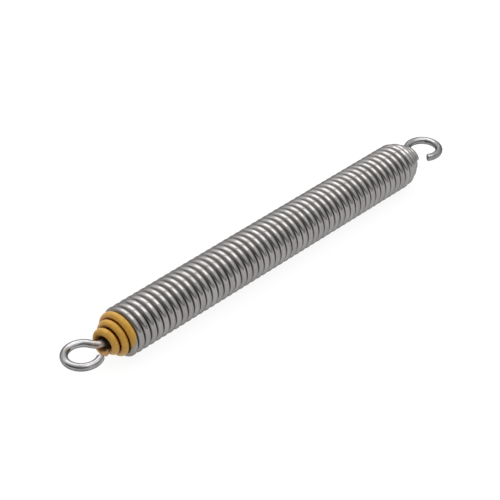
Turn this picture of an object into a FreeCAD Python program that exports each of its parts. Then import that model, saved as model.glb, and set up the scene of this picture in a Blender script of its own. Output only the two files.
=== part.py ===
import FreeCAD, Part
import math
import os

# Barrier arm spring: a close-wound extension spring whose two ends are drawn in
# to cones, with a headed swivel hook captured in each cone.
# Millimetres. The coil axis runs along X, the spring lies on Z = 0, and the
# origin is under the middle of the overall length.

V = FreeCAD.Vector

# ---- driving dimensions -------------------------------------------------
wire_d = 6.30              # drawn spring wire
coil_od = 40.6             # outside diameter of the parallel body
pitch = 6.42               # axial advance per turn, coils almost touching
body_turns = 48            # turns at full diameter
face_angle = 133.31        # angle about +X (from +Y to +Z) of the wire at turn 0
# wire centreline radius at each turn counted from the body outwards
paint_cone = [(-0.6, 17.15), (-1.0, 16.5), (-1.25, 15.6), (-2.0, 12.5),
              (-2.75, 9.5), (-3.0, 8.4), (-3.3, 7.9), (-3.70, 7.7)]
plain_cone = [(0.5, 17.15), (1.0, 16.8), (2.0, 14.4), (3.0, 11.0), (4.0, 7.8), (4.1, 7.6)]
# how far each painted turn stands off the turn before it
paint_open = [(-3.70, 0.3), (-3.28, 1.35), (-2.95, 0.90), (-2.45, 0.45), (-1.6, 0.45), (-1.2, 0.0)]

hook_wire_d = 6.30         # hook rod
loop_r = 13.9              # centreline radius of the hook loop
loop_start = 30.0          # loop angle, from the shank side, where the leg joins
loop_end = 305.0           # loop angle where the rod is cut off
bend_r = 7.5               # centreline radius of the bend from shank to leg
bend_out = 3.3             # bend corner, outwards of the last coil's centre
tip_round = 0.7            # rounding of the cut rod end

head_r = 7.0               # captured head
head_cone_start = 3.3      # inwards of the last coil's centre
head_cone_end = 9.6
head_back = 13.1
head_round = 1.2

quarter = 4                # path nodes per turn

# ---- wire law -----------------------------------------------------------
body_r = (coil_od - wire_d) / 2.0
wire_r = wire_d / 2.0
t_first = paint_cone[-1][0]
t_last = body_turns + plain_cone[-1][0]


def monotone(points):
    """Smooth curve through the points that never overshoots them."""
    pts = sorted(points)
    xs = [a for a, b in pts]
    ys = [b for a, b in pts]
    n = len(xs)
    slope = [(ys[i + 1] - ys[i]) / (xs[i + 1] - xs[i]) for i in range(n - 1)]
    m = [0.0] * n
    m[0], m[-1] = slope[0], slope[-1]
    for i in range(1, n - 1):
        if slope[i - 1] * slope[i] > 0:
            m[i] = 2 * slope[i - 1] * slope[i] / (slope[i - 1] + slope[i])

    def f(t):
        if t <= xs[0]:
            return ys[0]
        if t >= xs[-1]:
            return ys[-1]
        i = max(j for j in range(n - 1) if xs[j] <= t)
        h = xs[i + 1] - xs[i]
        s = (t - xs[i]) / h
        return (ys[i] * (2 * s ** 3 - 3 * s * s + 1) + h * m[i] * (s ** 3 - 2 * s * s + s)
                + ys[i + 1] * (3 * s * s - 2 * s ** 3) + h * m[i + 1] * (s ** 3 - s * s))
    return f


near_law = monotone(paint_cone + [(0.0, body_r), (1.0, body_r)])
far_law = monotone([(body_turns - 1.0, body_r), (body_turns, body_r)]
                   + [(body_turns + t, r) for t, r in plain_cone])


near_open = monotone(paint_open)


def coil_radius(t):
    return near_law(t) if t < body_turns / 2.0 else far_law(t)


def coil_x(t):
    """Each cone turn lies against the turn before it, one pitch away; the last
    painted turns stand off a little more."""
    if t < 0:
        apart = pitch + near_open(t)
        return coil_x(t + 1) - math.sqrt(apart ** 2 - (coil_radius(t + 1) - coil_radius(t)) ** 2)
    if t > body_turns:
        return coil_x(t - 1) + math.sqrt(pitch ** 2 - (coil_radius(t - 1) - coil_radius(t)) ** 2)
    return pitch * t


x_first = coil_x(t_first)
x_last = coil_x(t_last)
corner_to_loop = loop_r / math.cos(math.radians(loop_start))
x_paint_corner = x_first - bend_out
x_plain_corner = x_last + bend_out
x_paint_loop = x_paint_corner - corner_to_loop
x_plain_loop = x_plain_corner + corner_to_loop
loop_out = loop_r + hook_wire_d / 2.0
x_low = x_paint_loop - loop_out
x_high = x_plain_loop + loop_out
x_shift = -(x_low + x_high) / 2.0
axis_z = coil_od / 2.0


def coil_point(t):
    a = math.radians(face_angle + 360.0 * t)
    r = coil_radius(t)
    return V(coil_x(t) + x_shift, r * math.cos(a), r * math.sin(a) + axis_z)


def coil_tangent(t):
    h = 1e-4
    lo, hi = max(t - h, t_first), min(t + h, t_last)
    v = coil_point(hi) - coil_point(lo)
    return v.normalize()


def arc_between(p0, p1, corner):
    """Circular arc from p0 to p1 whose end tangents meet at the corner."""
    mid = (p0 + p1) * 0.5
    half = (p1 - p0).Length / 2.0
    up = corner - mid
    rise = up.Length
    phi = math.atan2(rise, half)
    top = mid + up * (half * math.tan(phi / 2.0) / rise)
    return Part.Arc(p0, top, p1).toShape()


def biarc(p0, t0, p1, t1):
    """Two arcs from p0 to p1 that keep both end tangents and join smoothly."""
    v = p1 - p0
    tsum = t0 + t1
    c = 1.0 - t0.dot(t1)
    vt = v.dot(tsum)
    d = (-vt + math.sqrt(vt * vt + 2.0 * c * v.dot(v))) / (2.0 * c)
    c0 = p0 + t0 * d
    c1 = p1 - t1 * d
    pm = (c0 + c1) * 0.5
    return [arc_between(p0, pm, c0), arc_between(pm, p1, c1)]


# ---- the coil: one wire from cut end to cut end --------------------------
count = int(round((t_last - t_first) * quarter))
stations = [t_first + (t_last - t_first) * i / count for i in range(count + 1)]
points = [coil_point(t) for t in stations]
tangents = [coil_tangent(t) for t in stations]
edges = []
for i in range(count):
    edges += biarc(points[i], tangents[i], points[i + 1], tangents[i + 1])
coil_path = Part.Wire(edges)
coil_section = Part.Face(Part.Wire(Part.makeCircle(wire_r, points[0], tangents[0])))
spring_coil = coil_path.makePipe(coil_section)
if spring_coil.ShapeType != "Solid":
    spring_coil = spring_coil.Solids[0]


# ---- the two headed swivel hooks ----------------------------------------
def swivel_hook(x_end, out):
    """Hook captured in the cone that ends at x_end; out is -1 or +1 along X.

    The rod runs on the coil axis through the cone's mouth, bends aside, joins
    the loop, and goes round it to a cut end that leaves the loop open."""
    x_end += x_shift

    def at(s, y):
        return V(x_end + out * s, y, axis_z)

    a0 = math.radians(loop_start)
    a1 = math.radians(loop_end)
    corner = at(bend_out, 0)
    loop_s = bend_out + corner_to_loop

    def on_loop(a):
        return at(loop_s - loop_r * math.cos(a), loop_r * math.sin(a))

    leg_end = on_loop(a0)
    back = bend_r * math.tan((math.pi / 2 - a0) / 2)
    leg_dir = (leg_end - corner).normalize()
    bend_in = at(bend_out - back, 0)
    bend_exit = corner + leg_dir * back
    shank_end = at(-(head_back - 2.0), 0)
    path = Part.Wire([
        Part.LineSegment(shank_end, bend_in).toShape(),
        arc_between(bend_in, bend_exit, corner),
        Part.LineSegment(bend_exit, leg_end).toShape(),
        Part.Arc(leg_end, on_loop((a0 + a1) / 2), on_loop(a1)).toShape(),
    ])
    rod_r = hook_wire_d / 2.0
    section = Part.Face(Part.Wire(Part.makeCircle(rod_r, shank_end, V(out, 0, 0))))
    rod = path.makePipe(section)
    if rod.ShapeType != "Solid":
        rod = rod.Solids[0]
    # round over the cut end of the rod
    tip = on_loop(a1)
    rim = [e for e in rod.Edges if e.Closed and (e.CenterOfMass - tip).Length < 0.05]
    rod = rod.makeFillet(tip_round, rim)
    # forged head: conical seat towards the mouth, rounded back
    prof = [at(-head_cone_start, 0), at(-head_cone_start, rod_r), at(-head_cone_end, head_r),
            at(-(head_back - head_round), head_r)]
    k = head_round * (1 - math.sqrt(0.5))
    arc = Part.Arc(prof[-1], at(-(head_back - k), head_r - k), at(-head_back, head_r - head_round))
    outline = Part.Wire([
        Part.LineSegment(prof[0], prof[1]).toShape(),
        Part.LineSegment(prof[1], prof[2]).toShape(),
        Part.LineSegment(prof[2], prof[3]).toShape(),
        arc.toShape(),
        Part.LineSegment(at(-head_back, head_r - head_round), at(-head_back, 0)).toShape(),
        Part.LineSegment(at(-head_back, 0), prof[0]).toShape(),
    ])
    head = Part.Face(outline).revolve(at(0, 0), V(1, 0, 0), 360)
    hook = rod.fuse(head).removeSplitter()
    return hook.Solids[0]


paint_end_hook = swivel_hook(x_first, -1)
plain_end_hook = swivel_hook(x_last, 1)

# ---- write --------------------------------------------------------------
os.makedirs("parts", exist_ok=True)
nodes = {
    "spring_coil": spring_coil,
    "paint_end_hook": paint_end_hook,
    "plain_end_hook": plain_end_hook,
}
for name, shape in nodes.items():
    if not shape.isValid() or shape.Volume <= 0:
        raise RuntimeError(name + " is not a valid solid")
    shape.exportStep("parts/" + name + ".step")

length = coil_path.Length
print("wire length %.1f, volume %.1f, section x length %.1f" % (
    length, spring_coil.Volume, math.pi * wire_r ** 2 * length))
print("turns %.2f, overall %.2f, shift %.3f" % (t_last - t_first, x_high - x_low, x_shift))
print("coil ends at x %.3f and %.3f" % (x_first + x_shift, x_last + x_shift))
print("loop centres at x %.3f and %.3f" % (x_paint_loop + x_shift, x_plain_loop + x_shift))
for name, shape in nodes.items():
    b = shape.BoundBox
    print("%s volume %.1f faces %d box %.2f..%.2f %.2f..%.2f %.2f..%.2f" % (
        name, shape.Volume, len(shape.Faces), b.XMin, b.XMax, b.YMin, b.YMax, b.ZMin, b.ZMax))
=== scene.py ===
import math

import bpy
import numpy as np
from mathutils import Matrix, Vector


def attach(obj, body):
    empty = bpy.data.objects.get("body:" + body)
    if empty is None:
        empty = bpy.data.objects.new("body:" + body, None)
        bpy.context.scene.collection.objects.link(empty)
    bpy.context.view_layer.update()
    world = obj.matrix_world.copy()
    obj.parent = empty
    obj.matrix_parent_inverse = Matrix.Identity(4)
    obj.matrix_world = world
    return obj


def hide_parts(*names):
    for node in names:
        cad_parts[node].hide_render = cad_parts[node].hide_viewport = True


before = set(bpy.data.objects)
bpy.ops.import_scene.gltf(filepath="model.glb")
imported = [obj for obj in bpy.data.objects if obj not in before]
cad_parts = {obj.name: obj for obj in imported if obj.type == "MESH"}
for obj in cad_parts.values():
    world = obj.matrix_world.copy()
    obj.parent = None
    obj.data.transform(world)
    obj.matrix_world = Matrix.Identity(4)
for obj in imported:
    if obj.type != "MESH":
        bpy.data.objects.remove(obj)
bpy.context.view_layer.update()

MM = 0.001

# ---------------------------------------------------------------------------
# Dimensions of the spring, in millimetres, in the frame's own axes:
# the coil axis runs along X at height axis_z, the painted cone is at -X.
# ---------------------------------------------------------------------------
wire_d = 6.30
coil_od = 40.6
pitch = 6.42
body_turns = 48
face_angle = 133.31
paint_cone = [(-0.6, 17.15), (-1.0, 16.5), (-1.25, 15.6), (-2.0, 12.5),
              (-2.75, 9.5), (-3.0, 8.4), (-3.3, 7.9), (-3.70, 7.7)]
plain_cone = [(0.5, 17.15), (1.0, 16.8), (2.0, 14.4), (3.0, 11.0), (4.0, 7.8), (4.1, 7.6)]
paint_open = [(-3.70, 0.3), (-3.28, 1.35), (-2.95, 0.90), (-2.45, 0.45), (-1.6, 0.45), (-1.2, 0.0)]

hook_wire_d = 6.30
loop_r = 13.9
loop_start = 30.0
loop_end = 305.0
bend_r = 7.5
bend_out = 3.3
head_r = 7.0
head_cone_start = 3.3
head_cone_end = 9.6
head_back = 13.1
head_round = 1.2
tip_round = 0.7

wire_r = wire_d / 2.0
body_r = (coil_od - wire_d) / 2.0
axis_z = coil_od / 2.0
t_first = paint_cone[-1][0]
t_last = body_turns + plain_cone[-1][0]


def monotone(points):
    """Smooth curve through the points that never overshoots them."""
    pts = sorted(points)
    xs = [a for a, b in pts]
    ys = [b for a, b in pts]
    n = len(xs)
    slope = [(ys[i + 1] - ys[i]) / (xs[i + 1] - xs[i]) for i in range(n - 1)]
    m = [0.0] * n
    m[0], m[-1] = slope[0], slope[-1]
    for i in range(1, n - 1):
        if slope[i - 1] * slope[i] > 0:
            m[i] = 2 * slope[i - 1] * slope[i] / (slope[i - 1] + slope[i])

    def f(t):
        if t <= xs[0]:
            return ys[0]
        if t >= xs[-1]:
            return ys[-1]
        i = max(j for j in range(n - 1) if xs[j] <= t)
        h = xs[i + 1] - xs[i]
        s = (t - xs[i]) / h
        return (ys[i] * (2 * s ** 3 - 3 * s * s + 1) + h * m[i] * (s ** 3 - 2 * s * s + s)
                + ys[i + 1] * (3 * s * s - 2 * s ** 3) + h * m[i + 1] * (s ** 3 - s * s))
    return f


near_law = monotone(paint_cone + [(0.0, body_r), (1.0, body_r)])
far_law = monotone([(body_turns - 1.0, body_r), (body_turns, body_r)]
                   + [(body_turns + t, r) for t, r in plain_cone])


def coil_radius(t):
    return near_law(t) if t < body_turns / 2.0 else far_law(t)


near_open = monotone(paint_open)


def coil_x(t):
    if t < 0:
        apart = pitch + near_open(t)
        return coil_x(t + 1) - math.sqrt(apart ** 2 - (coil_radius(t + 1) - coil_radius(t)) ** 2)
    if t > body_turns:
        return coil_x(t - 1) + math.sqrt(pitch ** 2 - (coil_radius(t - 1) - coil_radius(t)) ** 2)
    return pitch * t


corner_to_loop = loop_r / math.cos(math.radians(loop_start))
loop_s = bend_out + corner_to_loop
reach = loop_s + loop_r + hook_wire_d / 2.0
x_first = coil_x(t_first)
x_last = coil_x(t_last)
x_shift = -((x_first - reach) + (x_last + reach)) / 2.0


# ---------------------------------------------------------------------------
# Mesh helpers: a closed skin over a row of rings
# ---------------------------------------------------------------------------
def unit(v):
    return v / np.linalg.norm(v, axis=-1, keepdims=True)


def skin(name, rings, along, phases, lay):
    """A closed mesh over rings, an array (count, around, 3) in millimetres.

    along is the surface length at each ring, phases the angle of each column;
    lay gives the flat layout of the skin for each band of rings."""
    count, around = rings.shape[:2]
    ends = np.array([rings[0].mean(0), rings[-1].mean(0)])
    verts = np.concatenate([rings.reshape(-1, 3), ends]) * MM
    i = np.arange(count - 1)[:, None]
    j = np.arange(around)[None, :]
    k = (j + 1) % around
    a = (i * around + j)
    b = (i * around + k)
    c = ((i + 1) * around + k)
    d = ((i + 1) * around + j)
    quads = np.stack([a, b, c, d], -1).reshape(-1, 4)
    # outward check on one face of the middle band
    q = quads[len(quads) // 2]
    p = verts[q]
    normal = np.cross(p[1] - p[0], p[2] - p[0])
    ring_mid = rings[(count - 1) // 2].mean(0) * MM
    flip = float(np.dot(normal, p.mean(0) - ring_mid)) < 0
    caps = []
    first, last = count * around, count * around + 1
    for col in range(around):
        nxt = (col + 1) % around
        caps.append((first, nxt, col))
        caps.append((last, (count - 1) * around + col, (count - 1) * around + nxt))
    faces = [tuple(f) for f in quads.tolist()] + caps
    uv = lay(count, around)
    if flip:
        faces = [tuple(reversed(f)) for f in faces]
        uv = [tuple(reversed(f)) for f in uv]
    mesh = bpy.data.meshes.new(name)
    mesh.from_pydata(verts.tolist(), [], faces)
    mesh.polygons.foreach_set("use_smooth", np.ones(len(faces), bool))
    layer = mesh.uv_layers.new(name="OFBake")
    layer.data.foreach_set("uv", np.array([x for f in uv for p in f for x in p], np.float32))
    co = np.zeros((count * around + 2, 3), np.float32)
    co[:-2, 0] = np.repeat(along, around)
    co[:-2, 1] = np.tile(np.cos(phases), count)
    co[:-2, 2] = np.tile(np.sin(phases), count)
    co[-2, 0], co[-1, 0] = along[0], along[-1]
    att = mesh.attributes.new("rod_co", "FLOAT_VECTOR", "POINT")
    att.data.foreach_set("vector", co.ravel())
    mesh.update()
    mesh.validate()
    obj = bpy.data.objects.new(name, mesh)
    bpy.context.scene.collection.objects.link(obj)
    return obj


def strip_layout(along, width, rows, cap_size):
    """Lays a long skin out as rows of equal length, one under the other, with the
    two end discs in a row of their own."""
    total = along[-1] - along[0]
    row_len = total / rows
    tall = 1.0 / (rows + 1)

    def lay(count, around):
        out = []
        for n in range(count - 1):
            s0, s1 = along[n] - along[0], along[n + 1] - along[0]
            row = min(rows - 1, int((0.5 * (s0 + s1)) / row_len))
            u0 = 0.01 + 0.98 * min(1.0, max(0.0, (s0 - row * row_len) / row_len))
            u1 = 0.01 + 0.98 * min(1.0, max(0.0, (s1 - row * row_len) / row_len))
            if u1 - u0 < 1e-4:
                u1 = u0 + 1e-4
            base = row * tall + 0.06 * tall
            h = 0.88 * tall
            for c in range(around):
                v0 = base + h * c / around
                v1 = base + h * (c + 1) / around
                out.append(((u0, v0), (u0, v1), (u1, v1), (u1, v0)))
        r = 0.42 * tall
        mid = (rows + 0.5) * tall
        for c in range(around):
            a0 = 2 * math.pi * c / around
            a1 = 2 * math.pi * (c + 1) / around
            for x, (m0, m1) in ((0.1, (a1, a0)), (0.3, (a0, a1))):
                out.append(((x, mid), (x + r * math.cos(m0), mid + r * math.sin(m0)),
                            (x + r * math.cos(m1), mid + r * math.sin(m1))))
        return out
    return lay


# ---------------------------------------------------------------------------
# The coil: one drawn wire with sheared, slightly rounded ends
# ---------------------------------------------------------------------------
rng = np.random.default_rng(4759)


def wander(t, scale, size, terms=9):
    """Slow irregularity of a hand-fed winding, smooth and repeatable."""
    out = np.zeros_like(t)
    for n in range(terms):
        out += np.sin(t * scale * (0.45 + 0.31 * n) + rng.uniform(0, 2 * math.pi)) * rng.uniform(0.4, 1.0)
    return out * size / math.sqrt(terms / 2.0)


per_turn = 60
around_wire = 26
ts = np.linspace(t_first, t_last, int(round((t_last - t_first) * per_turn)) + 1)
rad = np.array([coil_radius(t) for t in ts])
xs = np.array([coil_x(t) for t in ts]) + x_shift
calm = np.clip(np.minimum((ts - t_first) / 5.0, (t_last - ts) / 5.0), 0.15, 1.0)
rad = rad - np.abs(wander(ts, 2.1, 0.035)) * calm
xs = xs + wander(ts, 1.3, 0.012) * calm
ang = np.radians(face_angle + 360.0 * ts)
centre = np.stack([xs, rad * np.cos(ang), rad * np.sin(ang) + axis_z], -1)
tangent = unit(np.gradient(centre, axis=0))
radial = np.stack([np.zeros_like(ang), np.cos(ang), np.sin(ang)], -1)
radial = unit(radial - (radial * tangent).sum(-1, keepdims=True) * tangent)
side = np.cross(tangent, radial)
length = np.concatenate([[0.0], np.cumsum(np.linalg.norm(np.diff(centre, axis=0), axis=1))])

# rounded rims of the two sheared ends: (distance from the cut, radius taken off)
rim = [(0.0, wire_r * 0.55), (0.0, 0.42), (0.05, 0.22), (0.17, 0.07), (0.38, 0.0)]
rows_p, rows_n, rows_b, rows_r, rows_s, rows_t = [], [], [], [], [], []
for off, cut in rim:
    rows_p.append(centre[0] + tangent[0] * off)
    rows_n.append(radial[0]); rows_b.append(side[0]); rows_r.append(wire_r - cut)
    rows_s.append(off - cut); rows_t.append(ts[0])
for n in range(1, len(ts) - 1):
    rows_p.append(centre[n])
    rows_n.append(radial[n]); rows_b.append(side[n]); rows_r.append(wire_r)
    rows_s.append(length[n]); rows_t.append(ts[n])
for off, cut in reversed(rim):
    rows_p.append(centre[-1] - tangent[-1] * off)
    rows_n.append(radial[-1]); rows_b.append(side[-1]); rows_r.append(wire_r - cut)
    rows_s.append(length[-1] - off + cut); rows_t.append(ts[-1])
rows_p, rows_n, rows_b = map(np.array, (rows_p, rows_n, rows_b))
rows_r, rows_s, rows_t = np.array(rows_r), np.array(rows_s), np.array(rows_t)
phase = np.linspace(0, 2 * math.pi, around_wire, endpoint=False)
coil_rings = (rows_p[:, None, :] + rows_r[:, None, None]
              * (np.cos(phase)[None, :, None] * rows_n[:, None, :]
                 + np.sin(phase)[None, :, None] * rows_b[:, None, :]))
coil = skin("coil_wire", coil_rings, rows_s, phase,
            strip_layout(rows_s, 2 * math.pi * wire_r, 17, wire_r))


def smooth(lo, hi, x):
    s = np.clip((x - lo) / (hi - lo), 0.0, 1.0)
    return s * s * (3 - 2 * s)


def paint_distance(p):
    """How far, in millimetres, a point lies inside the paint: the marking was laid
    on from above, so its edge draws back on the underside of the third turn."""
    theta = np.degrees(np.arctan2(p[:, 2] - axis_z, p[:, 1]))
    theta = np.where(theta < 20.0, theta + 360.0, theta)
    back = smooth(143.0, 196.0, theta) * (1.0 - smooth(300.0, 378.0, theta))
    wind = np.where(theta < 223.0, theta, 223.0 - 203.0 * smooth(223.0, 380.0, theta))
    groove = pitch * (wind - face_angle) / 360.0 - 3.2
    return (x_shift + groove - 6.6 * back) - p[:, 0]


coil_points = np.zeros(len(coil.data.vertices) * 3)
coil.data.vertices.foreach_get("co", coil_points)
coil_points = coil_points.reshape(-1, 3) / MM
att = coil.data.attributes.new("paint_in", "FLOAT", "POINT")
att.data.foreach_set("value", paint_distance(coil_points).astype(np.float32))


def room_beside(step):
    """Distance from each point of the wire to the turn beside it."""
    t = rows_t + step
    a = np.radians(face_angle + 360.0 * rows_t)
    r = np.interp(t, ts, rad)
    mid = np.stack([np.interp(t, ts, xs), r * np.cos(a), r * np.sin(a) + axis_z], -1)
    room = np.linalg.norm(coil_rings - mid[:, None, :], axis=-1) - wire_r
    room[(t < t_first) | (t > t_last)] = 20.0
    return room


att = coil.data.attributes.new("groove", "FLOAT", "POINT")
att.data.foreach_set("value", np.concatenate(
    [np.minimum(room_beside(-1.0), room_beside(1.0)).ravel(), [20.0, 20.0]]).astype(np.float32))


# ---------------------------------------------------------------------------
# The swivel hooks: headed shank, bend, leg, open loop with a cut end
# ---------------------------------------------------------------------------
def swivel_hook(name, x_end, out):
    a0, a1 = math.radians(loop_start), math.radians(loop_end)
    rod_r = hook_wire_d / 2.0
    turn = math.pi / 2 - a0
    back = bend_r * math.tan(turn / 2)
    steps = []                      # (s, y, direction angle, radius)
    # head: flat back, rounded rim, straight band, conical seat
    for r in (2.4, 4.6, 5.6):
        steps.append((-head_back, 0.0, 0.0, r))
    for n in range(8):
        q = math.pi / 2 * n / 7
        steps.append((-head_back + head_round * (1 - math.cos(q)), 0.0, 0.0,
                      head_r - head_round + head_round * math.sin(q)))
    for s, r in ((-head_cone_end - 0.9, head_r), (-head_cone_end - 0.32, head_r - 0.01),
                 (-head_cone_end - 0.02, head_r - 0.09), (-head_cone_end + 0.28, head_r - 0.25)):
        steps.append((s, 0.0, 0.0, r))
    for n in range(1, 8):
        f = n / 8
        steps.append((-head_cone_end + (head_cone_end - head_cone_start) * f, 0.0, 0.0,
                      head_r + (rod_r - head_r) * f))
    for s, r in ((-head_cone_start - 0.35, rod_r + 0.225), (-head_cone_start - 0.05, rod_r + 0.075),
                 (-head_cone_start + 0.3, rod_r + 0.01), (-head_cone_start + 0.8, rod_r)):
        steps.append((s, 0.0, 0.0, r))
    bend_in = bend_out - back
    for n in range(1, 4):
        steps.append((-head_cone_start + 0.8 + (bend_in + head_cone_start - 0.8) * n / 4, 0.0, 0.0, rod_r))
    for n in range(15):
        q = turn * n / 14
        steps.append((bend_in + bend_r * math.sin(q), bend_r * (1 - math.cos(q)), q, rod_r))
    corner = np.array([bend_out, 0.0])
    leg_end = np.array([loop_s - loop_r * math.cos(a0), loop_r * math.sin(a0)])
    leg_dir = (leg_end - corner) / np.linalg.norm(leg_end - corner)
    p0 = corner + leg_dir * back
    for n in range(1, 5):
        p = p0 + (leg_end - p0) * n / 5
        steps.append((p[0], p[1], turn, rod_r))
    tip_angle = tip_round / loop_r
    for a in np.linspace(a0, a1 - tip_angle, 112):
        steps.append((loop_s - loop_r * math.cos(a), loop_r * math.sin(a), math.pi / 2 - a, rod_r))
    for n in range(1, 8):
        q = math.pi / 2 * n / 7
        a = a1 - tip_angle + tip_angle * math.sin(q)
        steps.append((loop_s - loop_r * math.cos(a), loop_r * math.sin(a), math.pi / 2 - a,
                      rod_r - tip_round + tip_round * math.cos(q)))
    steps.append((loop_s - loop_r * math.cos(a1), loop_r * math.sin(a1), math.pi / 2 - a1, 1.2))
    around = 36
    ph = np.linspace(0, 2 * math.pi, around, endpoint=False)
    rings = []
    for s, y, q, r in steps:
        p = np.array([x_end + out * s, y, axis_z])
        across = np.array([-out * math.sin(q), math.cos(q), 0.0])
        up = np.array([0.0, 0.0, 1.0])
        rings.append(p + r * (np.cos(ph)[:, None] * across + np.sin(ph)[:, None] * up))
    rings = np.array(rings)
    mids = rings.mean(1)
    radii = np.array([q[3] for q in steps])
    hop = np.hypot(np.linalg.norm(np.diff(mids, axis=0), axis=1), np.diff(radii))
    along = np.concatenate([[0.0], np.cumsum(hop)])
    return skin(name, rings, along, ph, strip_layout(along, 2 * math.pi * rod_r, 3, rod_r))


paint_hook = swivel_hook("paint_end_swivel_hook", x_first + x_shift, -1)
plain_hook = swivel_hook("plain_end_swivel_hook", x_last + x_shift, 1)


# ---------------------------------------------------------------------------
# Materials
# ---------------------------------------------------------------------------
class Graph:
    """Small helper to write shader graphs as expressions."""

    def __init__(self, tree):
        self.tree = tree

    def node(self, kind, **props):
        n = self.tree.nodes.new(kind)
        for k, v in props.items():
            setattr(n, k, v)
        return n

    def put(self, socket, value):
        if hasattr(value, "is_linked") or isinstance(value, bpy.types.NodeSocket):
            self.tree.links.new(value, socket)
        else:
            socket.default_value = value

    def math(self, op, a, b=0.0, c=0.0, clamp=False):
        n = self.node("ShaderNodeMath", operation=op, use_clamp=clamp)
        self.put(n.inputs[0], a)
        if len(n.inputs) > 1:
            self.put(n.inputs[1], b)
        if len(n.inputs) > 2:
            self.put(n.inputs[2], c)
        return n.outputs[0]

    def ramp(self, value, lo, hi, out_lo=0.0, out_hi=1.0, kind="SMOOTHSTEP"):
        n = self.node("ShaderNodeMapRange", interpolation_type=kind)
        self.put(n.inputs["Value"], value)
        self.put(n.inputs["From Min"], lo)
        self.put(n.inputs["From Max"], hi)
        self.put(n.inputs["To Min"], out_lo)
        self.put(n.inputs["To Max"], out_hi)
        return n.outputs["Result"]

    def noise(self, vector, scale, detail=3.0, rough=0.55, distortion=0.0):
        n = self.node("ShaderNodeTexNoise", noise_dimensions="3D")
        self.put(n.inputs["Vector"], vector)
        n.inputs["Scale"].default_value = scale
        n.inputs["Detail"].default_value = detail
        n.inputs["Roughness"].default_value = rough
        n.inputs["Distortion"].default_value = distortion
        return n.outputs[0]

    def mix(self, factor, a, b):
        n = self.node("ShaderNodeMix", data_type="RGBA", blend_type="MIX")
        self.put(n.inputs[0], factor)
        self.put(n.inputs[6], a if not isinstance(a, tuple) else (*a, 1.0)[:4])
        self.put(n.inputs[7], b if not isinstance(b, tuple) else (*b, 1.0)[:4])
        return n.outputs[2]

    def lerp(self, factor, a, b):
        n = self.node("ShaderNodeMix", data_type="FLOAT")
        self.put(n.inputs[0], factor)
        self.put(n.inputs[2], a)
        self.put(n.inputs[3], b)
        return n.outputs[0]

    def vector(self, x, y, z):
        n = self.node("ShaderNodeCombineXYZ")
        for s, v in zip(n.inputs, (x, y, z)):
            self.put(s, v)
        return n.outputs[0]

    def split(self, v):
        n = self.node("ShaderNodeSeparateXYZ")
        self.put(n.inputs[0], v)
        return n.outputs

    def attribute(self, name, out="Vector"):
        n = self.node("ShaderNodeAttribute", attribute_type="GEOMETRY", attribute_name=name)
        return n.outputs[out]

    def place(self):
        """Position on the piece, in millimetres."""
        tc = self.node("ShaderNodeTexCoord")
        n = self.node("ShaderNodeVectorMath", operation="SCALE")
        self.put(n.inputs[0], tc.outputs["Object"])
        n.inputs["Scale"].default_value = 1000.0
        return n.outputs[0]


def new_material(name):
    m = bpy.data.materials.new(name)
    m.use_nodes = True
    m.node_tree.nodes.clear()
    g = Graph(m.node_tree)
    out = g.node("ShaderNodeOutputMaterial")
    bsdf = g.node("ShaderNodeBsdfPrincipled")
    m.node_tree.links.new(bsdf.outputs[0], out.inputs["Surface"])
    return m, g, bsdf


def drawn_steel(g, light, dark, rough, streak=0.14):
    """Bright drawn wire: die lines along the rod, soft tarnish, rubbed spots.
    Returns colour, roughness and surface height."""
    s, cv, sv = g.split(g.attribute("rod_co"))
    # die lines: long along the rod, narrow around it
    lines_at = g.vector(g.math("MULTIPLY", s, 0.022), g.math("MULTIPLY", cv, 3.15), g.math("MULTIPLY", sv, 3.15))
    lines = g.noise(lines_at, 3.2, 4.0, 0.62)
    broad_at = g.vector(g.math("MULTIPLY", s, 0.012), g.math("MULTIPLY", cv, 3.15), g.math("MULTIPLY", sv, 3.15))
    broad = g.noise(broad_at, 0.75, 2.0, 0.5)
    place = g.place()
    tarnish = g.noise(place, 0.085, 4.0, 0.6)
    rubbed = g.noise(place, 0.62, 5.0, 0.68, 0.6)
    scuff = g.ramp(rubbed, 0.60, 0.74)
    tone = g.math("ADD", g.math("MULTIPLY", lines, 0.55), g.math("MULTIPLY", broad, 0.45))
    tone = g.ramp(g.math("ADD", g.math("MULTIPLY", tone, 0.7), g.math("MULTIPLY", tarnish, 0.3)), 0.5 - streak, 0.5 + streak)
    colour = g.mix(tone, dark, light)
    r = g.math("ADD", g.math("MULTIPLY", g.math("SUBTRACT", lines, 0.5), 0.16),
               g.math("MULTIPLY", g.math("SUBTRACT", tarnish, 0.5), 0.12))
    r = g.math("ADD", g.math("ADD", r, rough), g.math("MULTIPLY", scuff, 0.13))
    height = g.math("ADD", g.math("MULTIPLY", lines, 0.0042), g.math("MULTIPLY", scuff, -0.0020))
    return colour, r, height, (s, cv, sv), place


def finish_surface(g, bsdf, colour, metallic, rough, height, strength=0.6):
    g.put(bsdf.inputs["Base Color"], colour)
    g.put(bsdf.inputs["Metallic"], metallic)
    g.put(bsdf.inputs["Roughness"], rough)
    b = g.node("ShaderNodeBump")
    b.inputs["Strength"].default_value = strength
    b.inputs["Distance"].default_value = 0.001
    g.put(b.inputs["Height"], height)
    g.put(bsdf.inputs["Normal"], b.outputs[0])


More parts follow.
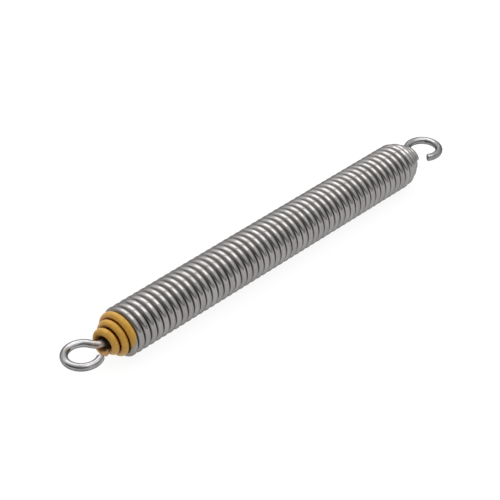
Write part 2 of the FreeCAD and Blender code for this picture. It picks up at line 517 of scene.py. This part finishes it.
# -- spring wire, bare along the body and marked with yellow paint on one cone
wire_mat, g, bsdf = new_material("spring_wire_steel")
steel, steel_rough, steel_h, (s, cv, sv), place = drawn_steel(
    g, (0.360, 0.349, 0.344), (0.262, 0.251, 0.245), 0.145)
groove = g.attribute("groove", "Fac")
# the grooves between turns and the inside of the coil are darkened, most of all inside the painted cone: partly
# dirt, partly painted shade
groove_grime_and_shade = g.math("MULTIPLY", g.ramp(groove, 0.75, 0.14), 0.34)
inner = g.ramp(cv, 0.05, -0.75)
depth = g.attribute("paint_in", "Fac")
shut_in = g.ramp(depth, -26.0, -12.0, 0.55, 0.97)
dirt_and_painted_shade = g.math("MAXIMUM", groove_grime_and_shade, g.math("MULTIPLY", inner, shut_in))
steel = g.mix(dirt_and_painted_shade, steel, g.mix(g.ramp(depth, -26.0, -12.0), (0.105, 0.091, 0.076), (0.042, 0.024, 0.010)))
steel_rough = g.lerp(dirt_and_painted_shade, steel_rough, 0.52)

edge_a = g.math("SUBTRACT", g.noise(place, 0.42, 3.0, 0.55), 0.5)
edge_b = g.math("SUBTRACT", g.noise(place, 1.9, 3.0, 0.6), 0.5)
ragged = g.math("ADD", depth, g.math("ADD", g.math("MULTIPLY", edge_a, 2.6), g.math("MULTIPLY", edge_b, 1.1)))
paint = g.ramp(ragged, -0.12, 0.12)
chips_n = g.noise(place, 0.95, 5.0, 0.7, 0.4)
chips = g.math("MULTIPLY", g.ramp(chips_n, 0.675, 0.70), g.ramp(cv, 0.55, 0.95))
paint = g.math("MULTIPLY", paint, g.math("SUBTRACT", 1.0, chips))
# a thin dusting of paint beyond the edge, thicker in the grooves
dust = g.math("MULTIPLY", g.ramp(ragged, -2.6, -0.4), g.ramp(g.noise(place, 3.4, 4.0, 0.7), 0.36, 0.60))
dust = g.math("MULTIPLY", dust, g.ramp(groove, 3.0, 0.3, 0.45, 0.95))
dust = g.math("MULTIPLY", dust, 0.85)
cover = g.math("MAXIMUM", paint, dust)

mottle = g.noise(place, 0.33, 4.0, 0.6)
fine = g.noise(place, 2.6, 3.0, 0.6)
run = g.noise(g.vector(g.math("MULTIPLY", s, 0.09), g.math("MULTIPLY", cv, 3.15), g.math("MULTIPLY", sv, 3.15)), 0.9, 3.0, 0.55)
ochre = g.mix(g.ramp(mottle, 0.36, 0.66), (0.415, 0.212, 0.026), (0.478, 0.264, 0.040))
ochre = g.mix(g.ramp(run, 0.42, 0.68, 0.0, 0.55), ochre, (0.520, 0.300, 0.075))
well_in = g.ramp(depth, 1.5, 4.5)
# the last painted turns stand further apart, so their grooves are wider
wider = g.ramp(depth, 7.0, 11.0, 0.0, 0.50)
# painted shade in the grooves between painted turns: olive-brown at the paint's edge, brown further in, and a deep
# red-brown in the tight grooves standing in for light bounced between the turns
ochre = g.mix(g.ramp(g.math("SUBTRACT", groove, wider), 2.30, 0.60, 0.0, 0.94), ochre,
              g.mix(well_in, (0.105, 0.066, 0.016), (0.225, 0.062, 0.005)))
ochre = g.mix(g.math("MULTIPLY", g.ramp(g.math("SUBTRACT", groove, wider), 1.10, 0.50, 0.0, 0.90), well_in),
              ochre, g.mix(g.ramp(depth, 6.0, 10.0), (0.560, 0.125, 0.004), (0.470, 0.118, 0.004)))
# the inside of the painted turns goes dark brown: painted shade, partly thinner paint where the paint mist could not
# reach
ochre = g.mix(g.ramp(cv, -0.10, -0.80, 0.0, 0.90), ochre, (0.160, 0.050, 0.005))
# the cut end face runs from dark brown on its inner part to tan on its outer lip: painted shade on the flat face,
# over the paint
cut_face_and_shade = g.mix(g.ramp(cv, -1.05, -0.25), (0.040, 0.018, 0.005), (0.500, 0.305, 0.135))
ochre = g.mix(g.ramp(s, 0.30, -0.15, 0.0, 0.95), ochre, cut_face_and_shade)
ochre = g.mix(g.ramp(fine, 0.60, 0.78, 0.0, 0.30), ochre, (0.28, 0.13, 0.014))
colour = g.mix(paint, g.mix(dust, steel, (0.130, 0.092, 0.034)), ochre)
metal = g.math("SUBTRACT", 1.0, cover, clamp=True)
paint_rough = g.math("ADD", 0.36, g.math("MULTIPLY", g.math("SUBTRACT", fine, 0.4), 0.25))
rough = g.lerp(cover, steel_rough, paint_rough)
paint_h = g.math("ADD", g.math("MULTIPLY", run, 0.022), g.math("MULTIPLY", fine, 0.010))
paint_h = g.math("ADD", paint_h, 0.05)
height = g.lerp(paint, steel_h, paint_h)
finish_surface(g, bsdf, colour, metal, rough, height, 0.75)
bsdf.inputs["Specular Tint"].default_value = (0.42, 0.42, 0.42, 1.0)
coil.data.materials.append(wire_mat)

# -- hook rod, a little brighter and smoother than the wire; dark with old grease
# hook rod, a little brighter and smoother than the wire; darkened inside the cone, partly a greasy film and partly
# painted shade, and on one hook flecked with ochre paint at the cone's mouth, which also stands in for a painted
# reflection of the cone
def hook_rod(name, dust_and_reflection, bright):
    mat, g, bsdf = new_material(name)
    steel, steel_rough, steel_h, (s, cv, sv), place = drawn_steel(
        g, tuple(v * bright for v in (0.450, 0.441, 0.443)), tuple(v * bright for v in (0.205, 0.200, 0.200)),
        0.135, 0.09)
    pits_n = g.noise(place, 1.7, 5.0, 0.72, 0.5)
    pits = g.math("MULTIPLY", g.ramp(pits_n, 0.66, 0.73), 0.6)
    steel = g.mix(pits, steel, (0.12, 0.112, 0.104))
    steel_rough = g.math("ADD", steel_rough, g.math("MULTIPLY", pits, 0.2))
    dent = g.noise(place, 0.30, 2.0, 0.5)
    steel_h = g.math("ADD", steel_h, g.math("ADD", g.math("MULTIPLY", pits, -0.010), g.math("MULTIPLY", dent, 0.05)))
    patch = g.noise(place, 0.55, 4.0, 0.65, 0.3)
    depth = g.math("ADD", s, g.math("MULTIPLY", g.math("SUBTRACT", patch, 0.5), 5.0))
    # the rod goes dark inside the cone: painted shade, partly a greasy film
    grease_and_shade = g.ramp(depth, 20.4, 17.2)
    colour = g.mix(grease_and_shade, steel, (0.024, 0.015, 0.008))
    rough = g.lerp(grease_and_shade, steel_rough, 0.60)
    metal = g.math("SUBTRACT", 1.0, g.math("MULTIPLY", grease_and_shade, 0.95))
    if dust_and_reflection:
        # ochre paint flecks near the cone's mouth, which also stand for a painted reflection of the painted cone on
        # the rod
        paint_spray_and_reflection = g.math("MULTIPLY", g.ramp(depth, 29.0, 21.0), g.ramp(g.noise(place, 2.3, 4.0, 0.7), 0.47, 0.62))
        paint_spray_and_reflection = g.math("MULTIPLY", paint_spray_and_reflection, g.ramp(s, 18.0, 20.5))
        colour = g.mix(paint_spray_and_reflection, colour, (0.330, 0.175, 0.050))
        rough = g.lerp(paint_spray_and_reflection, rough, 0.45)
        metal = g.math("MULTIPLY", metal, g.math("SUBTRACT", 1.0, paint_spray_and_reflection))
    finish_surface(g, bsdf, colour, metal, rough, steel_h, 0.7)
    bsdf.inputs["Specular Tint"].default_value = (0.34, 0.34, 0.34, 1.0)
    bsdf.inputs["Specular IOR Level"].default_value = 0.18
    return mat


# both hooks are the same steel; the plain-end hook is set darker than the marked one as painted shade
paint_hook.data.materials.append(hook_rod("hook_rod_steel_marked", True, 0.86))
plain_hook.data.materials.append(hook_rod("hook_rod_steel", False, 0.80))

# ---------------------------------------------------------------------------
# Ride on the bodies and stand for the nodes
# ---------------------------------------------------------------------------
for obj, body, node, slot in ((coil, "coil", "spring_coil", "spring_wire"),
                              (paint_hook, "paint_hook", "paint_end_hook", "hook_rod"),
                              (plain_hook, "plain_hook", "plain_end_hook", "hook_rod")):
    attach(obj, body)
    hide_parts(node)

# ---------------------------------------------------------------------------
# Studio: pale floor, two soft boxes overhead, dim room
# ---------------------------------------------------------------------------
scene = bpy.context.scene
scene.view_settings.view_transform = "Standard"
scene.view_settings.look = "None"
scene.view_settings.exposure = 0.0
scene.view_settings.gamma = 1.0

floor_mesh = bpy.data.meshes.new("floor")
half = 9.0
floor_mesh.from_pydata([(-half, -half, 0), (half, -half, 0), (half, half, 0), (-half, half, 0)], [], [(0, 1, 2, 3)])
floor = bpy.data.objects.new("floor", floor_mesh)
scene.collection.objects.link(floor)
floor_mat, g, bsdf = new_material("pale_floor")
fx, fy, fz = g.split(g.place())
away = g.math("SQRT", g.math("ADD", g.math("MULTIPLY", fx, fx), g.math("MULTIPLY", fy, fy)))
grain = g.noise(g.place(), 0.02, 3.0, 0.5)
g.put(bsdf.inputs["Base Color"], g.mix(grain, (0.092, 0.092, 0.092), (0.100, 0.100, 0.100)))
bsdf.inputs["Roughness"].default_value = 0.85
bsdf.inputs["Specular IOR Level"].default_value = 0.0
bsdf.inputs["Emission Color"].default_value = (1.0, 1.0, 1.0, 1.0)
# the floor glows: its emission stands in for lamp light on it, even near the spring and dimmer with distance, a
# painted pool of light
g.put(bsdf.inputs["Emission Strength"],
      g.math("SUBTRACT", g.ramp(away, 700.0, 2600.0, 0.905, 0.66), g.ramp(away, 2600.0, 8500.0, 0.0, 0.27)))
floor_mesh.materials.append(floor_mat)

# the two soft boxes stand side by side with a gap over the spring
for name, y_low, y_high in (("overhead_box_far", 0.23, 1.245), ("overhead_box_near", -0.75, 0.01)):
    box_light = bpy.data.lights.new(name, "AREA")
    box_light.shape = "RECTANGLE"
    box_light.size = 1.50
    box_light.size_y = y_high - y_low
    box_light.energy = 1.86 * math.pi * box_light.size * box_light.size_y
    box = bpy.data.objects.new(name, box_light)
    box.location = (0.30, (y_low + y_high) / 2.0, 1.52)
    scene.collection.objects.link(box)

world = bpy.data.worlds.new("room")
world.use_nodes = True
world.node_tree.nodes.clear()
g = Graph(world.node_tree)
wout = g.node("ShaderNodeOutputWorld")
back = g.node("ShaderNodeBackground")
world.node_tree.links.new(back.outputs[0], wout.inputs["Surface"])
tc = g.node("ShaderNodeTexCoord")
dx, dy, dz = g.split(tc.outputs["Generated"])
shade = g.ramp(g.math("ADD", g.math("MULTIPLY", dx, -0.966), g.math("MULTIPLY", dy, -0.259)), 0.2, 0.75)
bright = g.ramp(dz, 0.0, 0.72, 0.42, 1.28, "LINEAR")
dim = g.ramp(dz, 0.42, 0.95, 0.16, 0.90, "LINEAR")
# a low pale sweep all round, where the floor meets the room
dim = g.math("MAXIMUM", dim, g.ramp(dz, 0.17, 0.05, 0.0, 0.80))
level = g.math("MULTIPLY", g.lerp(shade, bright, dim), g.ramp(dy, 0.15, 0.60, 1.0, 1.28))
back.inputs["Color"].default_value = (1.0, 1.0, 1.0, 1.0)
g.put(back.inputs["Strength"], level)
scene.world = world

# ---------------------------------------------------------------------------
# Camera at the photograph's viewing angle
# ---------------------------------------------------------------------------
cam_data = bpy.data.cameras.new("camera")
cam_data.sensor_width = 36.0
cam_data.lens = 118.1
cam_data.clip_start = 0.05
cam_data.clip_end = 50.0
cam = bpy.data.objects.new("camera", cam_data)
az, el = math.radians(-45.36), math.radians(36.60)
backward = Vector((math.sin(az) * math.cos(el), -math.cos(az) * math.cos(el), math.sin(el)))
right = Vector((math.cos(az), math.sin(az), 0.0))
upward = backward.cross(right)
target = Vector((135.403 + x_shift, 0.0, 2.97 + axis_z)) * MM
target += (right * -0.33 + upward * 0.55) * 0.803 * MM
cam.location = target + backward * 1.3174
cam.rotation_mode = "QUATERNION"
cam.rotation_quaternion = (-backward).to_track_quat("-Z", "Y")
scene.collection.objects.link(cam)
scene.camera = cam

bpy.context.view_layer.update()
